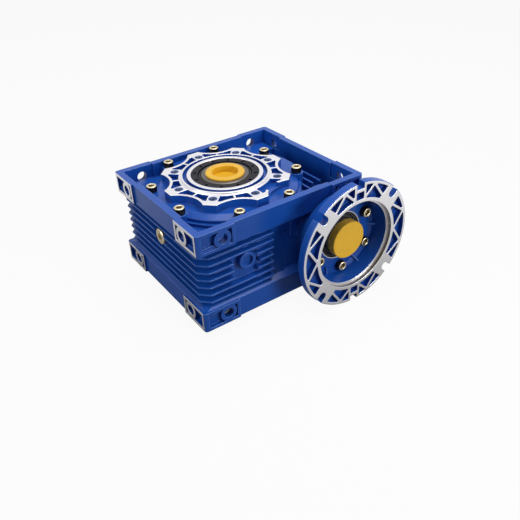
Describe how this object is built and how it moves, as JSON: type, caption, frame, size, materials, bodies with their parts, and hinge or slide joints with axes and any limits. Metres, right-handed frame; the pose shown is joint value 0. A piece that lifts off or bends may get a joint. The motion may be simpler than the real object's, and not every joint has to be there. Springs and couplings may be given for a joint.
{
  "type": "worm gear reducer",
  "caption": "Right-angle worm gear reducer in a finned cast housing with mounting frames, hollow keyed output shaft, petal output flange and slotted motor flange.",
  "frame": {"origin": "on the output axis at mid-width of the housing", "axes": "+Z along the output axis towards the removable cover, +X from the base face to the worm side, -Y out of the motor flange"},
  "size_m": [0.2755, 0.248, 0.1646],
  "materials": {
    "painted_casting": "die-cast aluminium in gloss blue paint",
    "painted_cover": "gloss blue paint with machined faces",
    "painted_flange": "gloss blue paint with machined faces",
    "zinc_screws": "yellow zinc plated",
    "zinc_plug": "yellow zinc plated",
    "seal_rubber": "moulded rubber",
    "bearing_steel": "ground bearing steel",
    "bearing_cage": "pressed steel",
    "spring_steel": "blackened spring steel",
    "copper_washer": "soft copper",
    "shaft_steel": "machined iron",
    "worm_steel": "case-hardened and ground steel",
    "bronze": "cast bronze, hobbed",
    "yellow_plastic": "moulded soft plastic"
  },
  "bodies": {
    "casing": {"housing": "painted_casting", "output_cover": "painted_cover", "cover_screws": "zinc_screws", "cover_o_ring": "seal_rubber", "output_seal_upper": "seal_rubber", "output_seal_lower": "seal_rubber", "output_bearing_upper_outer_ring": "bearing_steel", "output_bearing_lower_outer_ring": "bearing_steel", "input_flange": "painted_flange", "flange_screws": "zinc_screws", "flange_o_ring": "seal_rubber", "input_seal": "seal_rubber", "worm_bearing_front_outer_ring": "bearing_steel", "worm_bearing_rear_outer_ring": "bearing_steel", "worm_end_cap": "seal_rubber", "worm_end_circlip": "spring_steel", "oil_plug": "zinc_plug", "oil_plug_washer": "copper_washer"},
    "output": {"output_shaft": "shaft_steel", "wheel_rim": "bronze", "output_bearing_upper_inner_ring": "bearing_steel", "output_bearing_lower_inner_ring": "bearing_steel"},
    "worm": {"worm_shaft": "worm_steel", "worm_bearing_front_inner_ring": "bearing_steel", "worm_bearing_rear_inner_ring": "bearing_steel"},
    "upper_ball_set": {"output_bearing_upper_balls": "bearing_steel", "output_bearing_upper_cage": "bearing_cage"},
    "lower_ball_set": {"output_bearing_lower_balls": "bearing_steel", "output_bearing_lower_cage": "bearing_cage"},
    "front_ball_set": {"worm_bearing_front_balls": "bearing_steel", "worm_bearing_front_cage": "bearing_cage"},
    "rear_ball_set": {"worm_bearing_rear_balls": "bearing_steel", "worm_bearing_rear_cage": "bearing_cage"},
    "output_cap": {"output_cap": "yellow_plastic"},
    "input_cap": {"input_cap": "yellow_plastic"}
  },
  "joints": [
    {"name": "output_spin", "type": "hinge", "parent": "casing", "child": "output", "pos_m": [0, 0, 0], "axis": [0, 0, 1], "continuous": true},
    {"name": "worm_spin", "type": "hinge", "parent": "casing", "child": "worm", "pos_m": [0.09, 0, 0], "axis": [0, 1, 0], "continuous": true},
    {"name": "upper_balls_spin", "type": "hinge", "parent": "casing", "child": "upper_ball_set", "pos_m": [0, 0, 0.042], "axis": [0, 0, 1], "continuous": true},
    {"name": "lower_balls_spin", "type": "hinge", "parent": "casing", "child": "lower_ball_set", "pos_m": [0, 0, -0.042], "axis": [0, 0, 1], "continuous": true},
    {"name": "front_balls_spin", "type": "hinge", "parent": "casing", "child": "front_ball_set", "pos_m": [0.09, -0.088, 0], "axis": [0, 1, 0], "continuous": true},
    {"name": "rear_balls_spin", "type": "hinge", "parent": "casing", "child": "rear_ball_set", "pos_m": [0.09, 0.08, 0], "axis": [0, 1, 0], "continuous": true},
    {"name": "output_cap_pull", "type": "slide", "parent": "output", "child": "output_cap", "axis": [0, 0, 1], "range_m": [0, 0.12]},
    {"name": "input_cap_pull", "type": "slide", "parent": "worm", "child": "input_cap", "axis": [0, -1, 0], "range_m": [0, 0.12]}
  ],
  "couplings": [
    {"joint": "worm_spin", "follows": "output_spin", "ratio": -30},
    {"joint": "upper_balls_spin", "follows": "output_spin", "ratio": 0.42903},
    {"joint": "lower_balls_spin", "follows": "output_spin", "ratio": 0.42903},
    {"joint": "front_balls_spin", "follows": "output_spin", "ratio": -12.7},
    {"joint": "rear_balls_spin", "follows": "output_spin", "ratio": -11.935}
  ]
}
